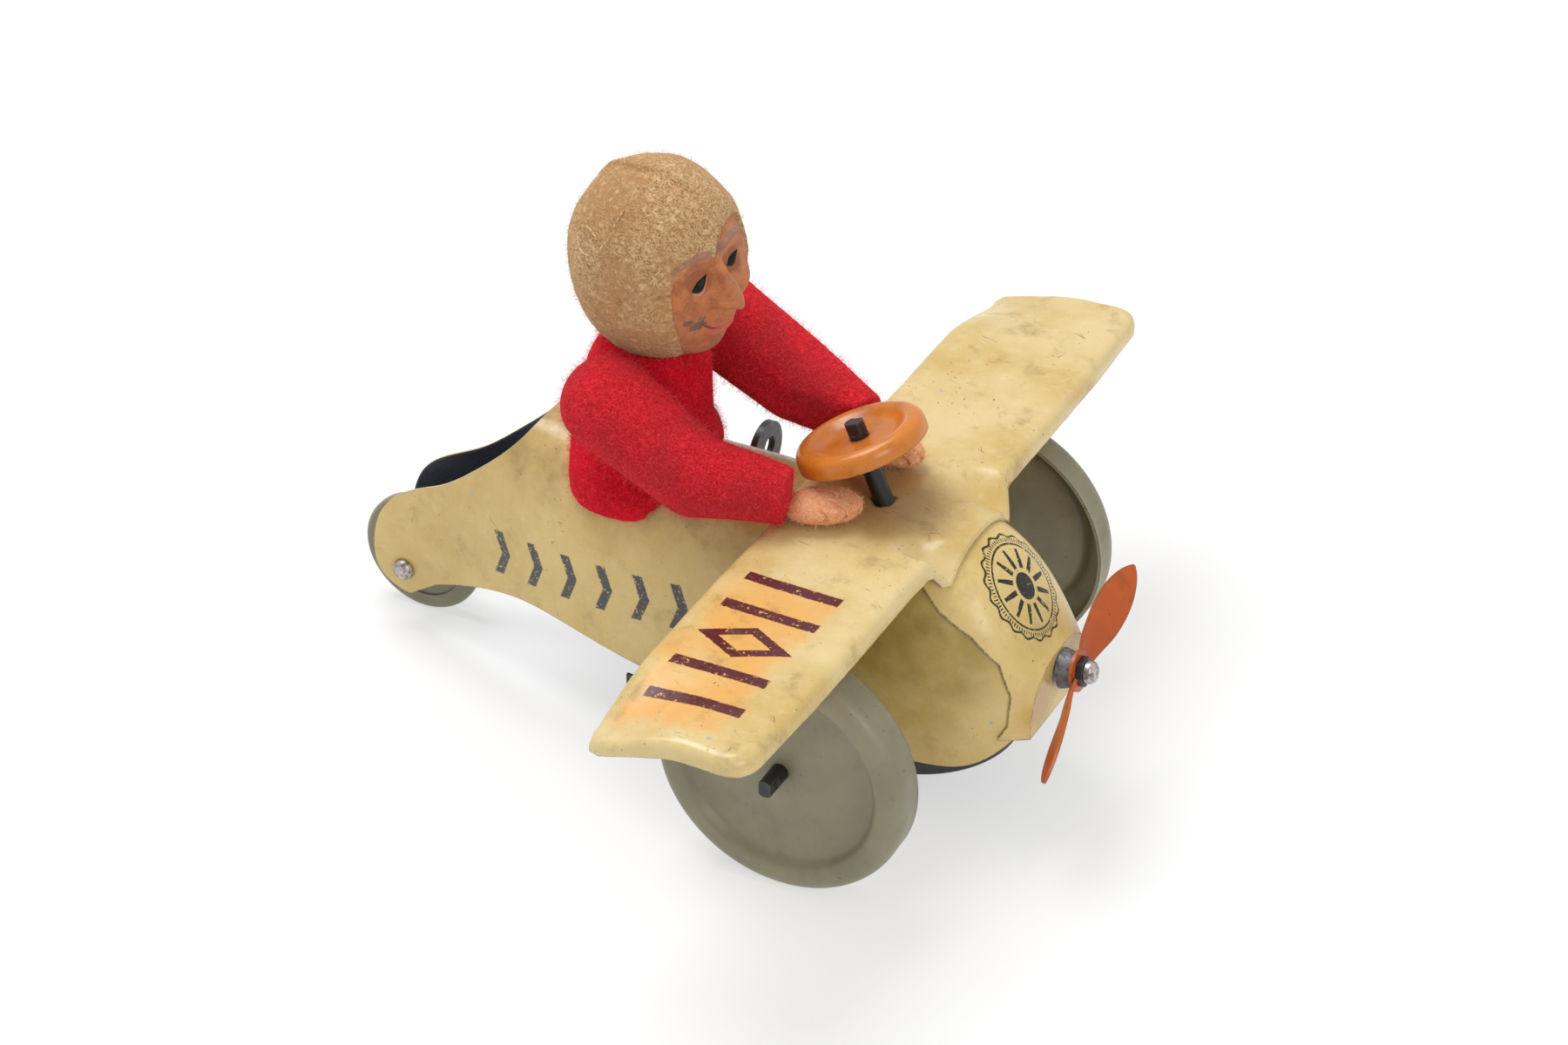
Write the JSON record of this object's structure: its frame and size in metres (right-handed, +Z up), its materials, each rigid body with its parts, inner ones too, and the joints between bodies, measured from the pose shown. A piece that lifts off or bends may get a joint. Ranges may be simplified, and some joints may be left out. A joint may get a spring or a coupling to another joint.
{
  "type": "wind-up toy aeroplane",
  "caption": "Wind-up tin aeroplane with a felt pilot: clockwork drives the front wheels, and the propeller, steering wheel, tail wheel, head and arms move.",
  "frame": {"origin": "on the floor under the middle of the toy's box", "axes": "+X forward to the propeller, +Y to the pilot's left (key side), +Z up"},
  "size_m": [0.1391, 0.1498, 0.1038],
  "materials": {
    "cream_paint": "worn gloss enamel on tinplate",
    "black_paint": "worn black enamel",
    "wheel_paint": "grey-green enamel, worn at the rim",
    "amber_paint": "amber lacquer",
    "orange_paint": "orange enamel, bare at the edges",
    "mask_paint": "flocked matt flesh paint",
    "steel": "oiled steel",
    "zinc": "dull grey metal",
    "brass": "stamped brass",
    "wood": "turned beech",
    "red_felt": "wool felt",
    "tan_felt": "wool felt",
    "peach_felt": "wool felt",
    "eye_black": "gloss black paint"
  },
  "bodies": {
    "airframe": {"fuselage_shell": "cream_paint", "nose_cowl": "cream_paint", "wing_plate": "cream_paint", "belly_tray": "black_paint", "clock_plate_left": "steel", "clock_plate_right": "steel", "clock_pillars": "steel", "mainspring": "steel", "rear_axle": "steel", "propeller_pin": "steel", "seat_screw": "steel", "torso_core": "wood", "torso_jacket": "red_felt", "neck_pin": "steel", "shoulder_wire": "steel"},
    "front_wheels": {"front_axle": "black_paint", "front_wheel_left": "wheel_paint", "front_wheel_right": "wheel_paint", "axle_pinion": "steel"},
    "idler": {"idler_shaft": "steel", "idler_wheel": "brass"},
    "second": {"second_shaft": "steel", "second_pinion": "steel", "second_wheel": "brass"},
    "great": {"great_wheel": "brass"},
    "click": {"click_pawl": "steel"},
    "winding": {"winding_arbor": "steel", "ratchet_wheel": "steel", "winding_key": "black_paint"},
    "propeller_set": {"propeller": "orange_paint", "propeller_bush": "zinc", "propeller_collar": "black_paint"},
    "steering": {"steering_column": "black_paint", "steering_wheel": "amber_paint", "column_clip": "steel"},
    "rear_wheel_set": {"rear_wheel": "wheel_paint"},
    "head": {"head_core": "wood", "face_mask": "mask_paint", "helmet": "tan_felt", "eye_left": "eye_black", "eye_right": "eye_black"},
    "arm_left": {"sleeve_left": "red_felt", "hand_left": "peach_felt"},
    "arm_right": {"sleeve_right": "red_felt", "hand_right": "peach_felt"}
  },
  "joints": [
    {"name": "front_axle_spin", "type": "hinge", "parent": "airframe", "child": "front_wheels", "pos_m": [0.033, 0, 0.022], "axis": [0, 1, 0], "continuous": true},
    {"name": "idler_spin", "type": "hinge", "parent": "airframe", "child": "idler", "pos_m": [0.02419, 0, 0.02557], "axis": [0, 1, 0], "continuous": true},
    {"name": "second_spin", "type": "hinge", "parent": "airframe", "child": "second", "pos_m": [0.0117, 0, 0.026], "axis": [0, 1, 0], "continuous": true},
    {"name": "great_spin", "type": "hinge", "parent": "airframe", "child": "great", "pos_m": [-0.003, 0, 0.029], "axis": [0, 1, 0], "continuous": true},
    {"name": "click_lift", "type": "hinge", "parent": "great", "child": "click", "pos_m": [0.0054, -0.005, 0.0332], "axis": [0, -1, 0], "range_deg": [0, 8], "stiffness_Nm_per_rad": 0.0001},
    {"name": "winding_spin", "type": "hinge", "parent": "airframe", "child": "winding", "pos_m": [-0.003, 0, 0.029], "axis": [0, 1, 0], "continuous": true},
    {"name": "propeller_spin", "type": "hinge", "parent": "airframe", "child": "propeller_set", "pos_m": [0.0626, 0, 0.0267], "axis": [0.9903, 0, 0.1392], "continuous": true},
    {"name": "steering_spin", "type": "hinge", "parent": "airframe", "child": "steering", "pos_m": [0.0316, 0, 0.0482], "axis": [-0.3907, 0, 0.9205], "continuous": true},
    {"name": "rear_wheel_spin", "type": "hinge", "parent": "airframe", "child": "rear_wheel_set", "pos_m": [-0.0582, 0, 0.0113], "axis": [0, 1, 0], "continuous": true},
    {"name": "head_turn", "type": "hinge", "parent": "airframe", "child": "head", "pos_m": [-0.0105, 0, 0.072], "axis": [0, 0, 1], "range_deg": [-30, 40]},
    {"name": "arm_left_lift", "type": "hinge", "parent": "airframe", "child": "arm_left", "pos_m": [-0.01, 0.0166, 0.065], "axis": [0, -1, 0], "range_deg": [0, 3.2]},
    {"name": "arm_right_lift", "type": "hinge", "parent": "airframe", "child": "arm_right", "pos_m": [-0.01, -0.0166, 0.065], "axis": [0, -1, 0], "range_deg": [0, 3.2]}
  ],
  "couplings": [
    {"joint": "idler_spin", "follows": "front_axle_spin", "ratio": -0.46154},
    {"joint": "second_spin", "follows": "front_axle_spin", "ratio": 0.5},
    {"joint": "great_spin", "follows": "front_axle_spin", "ratio": -0.125}
  ]
}
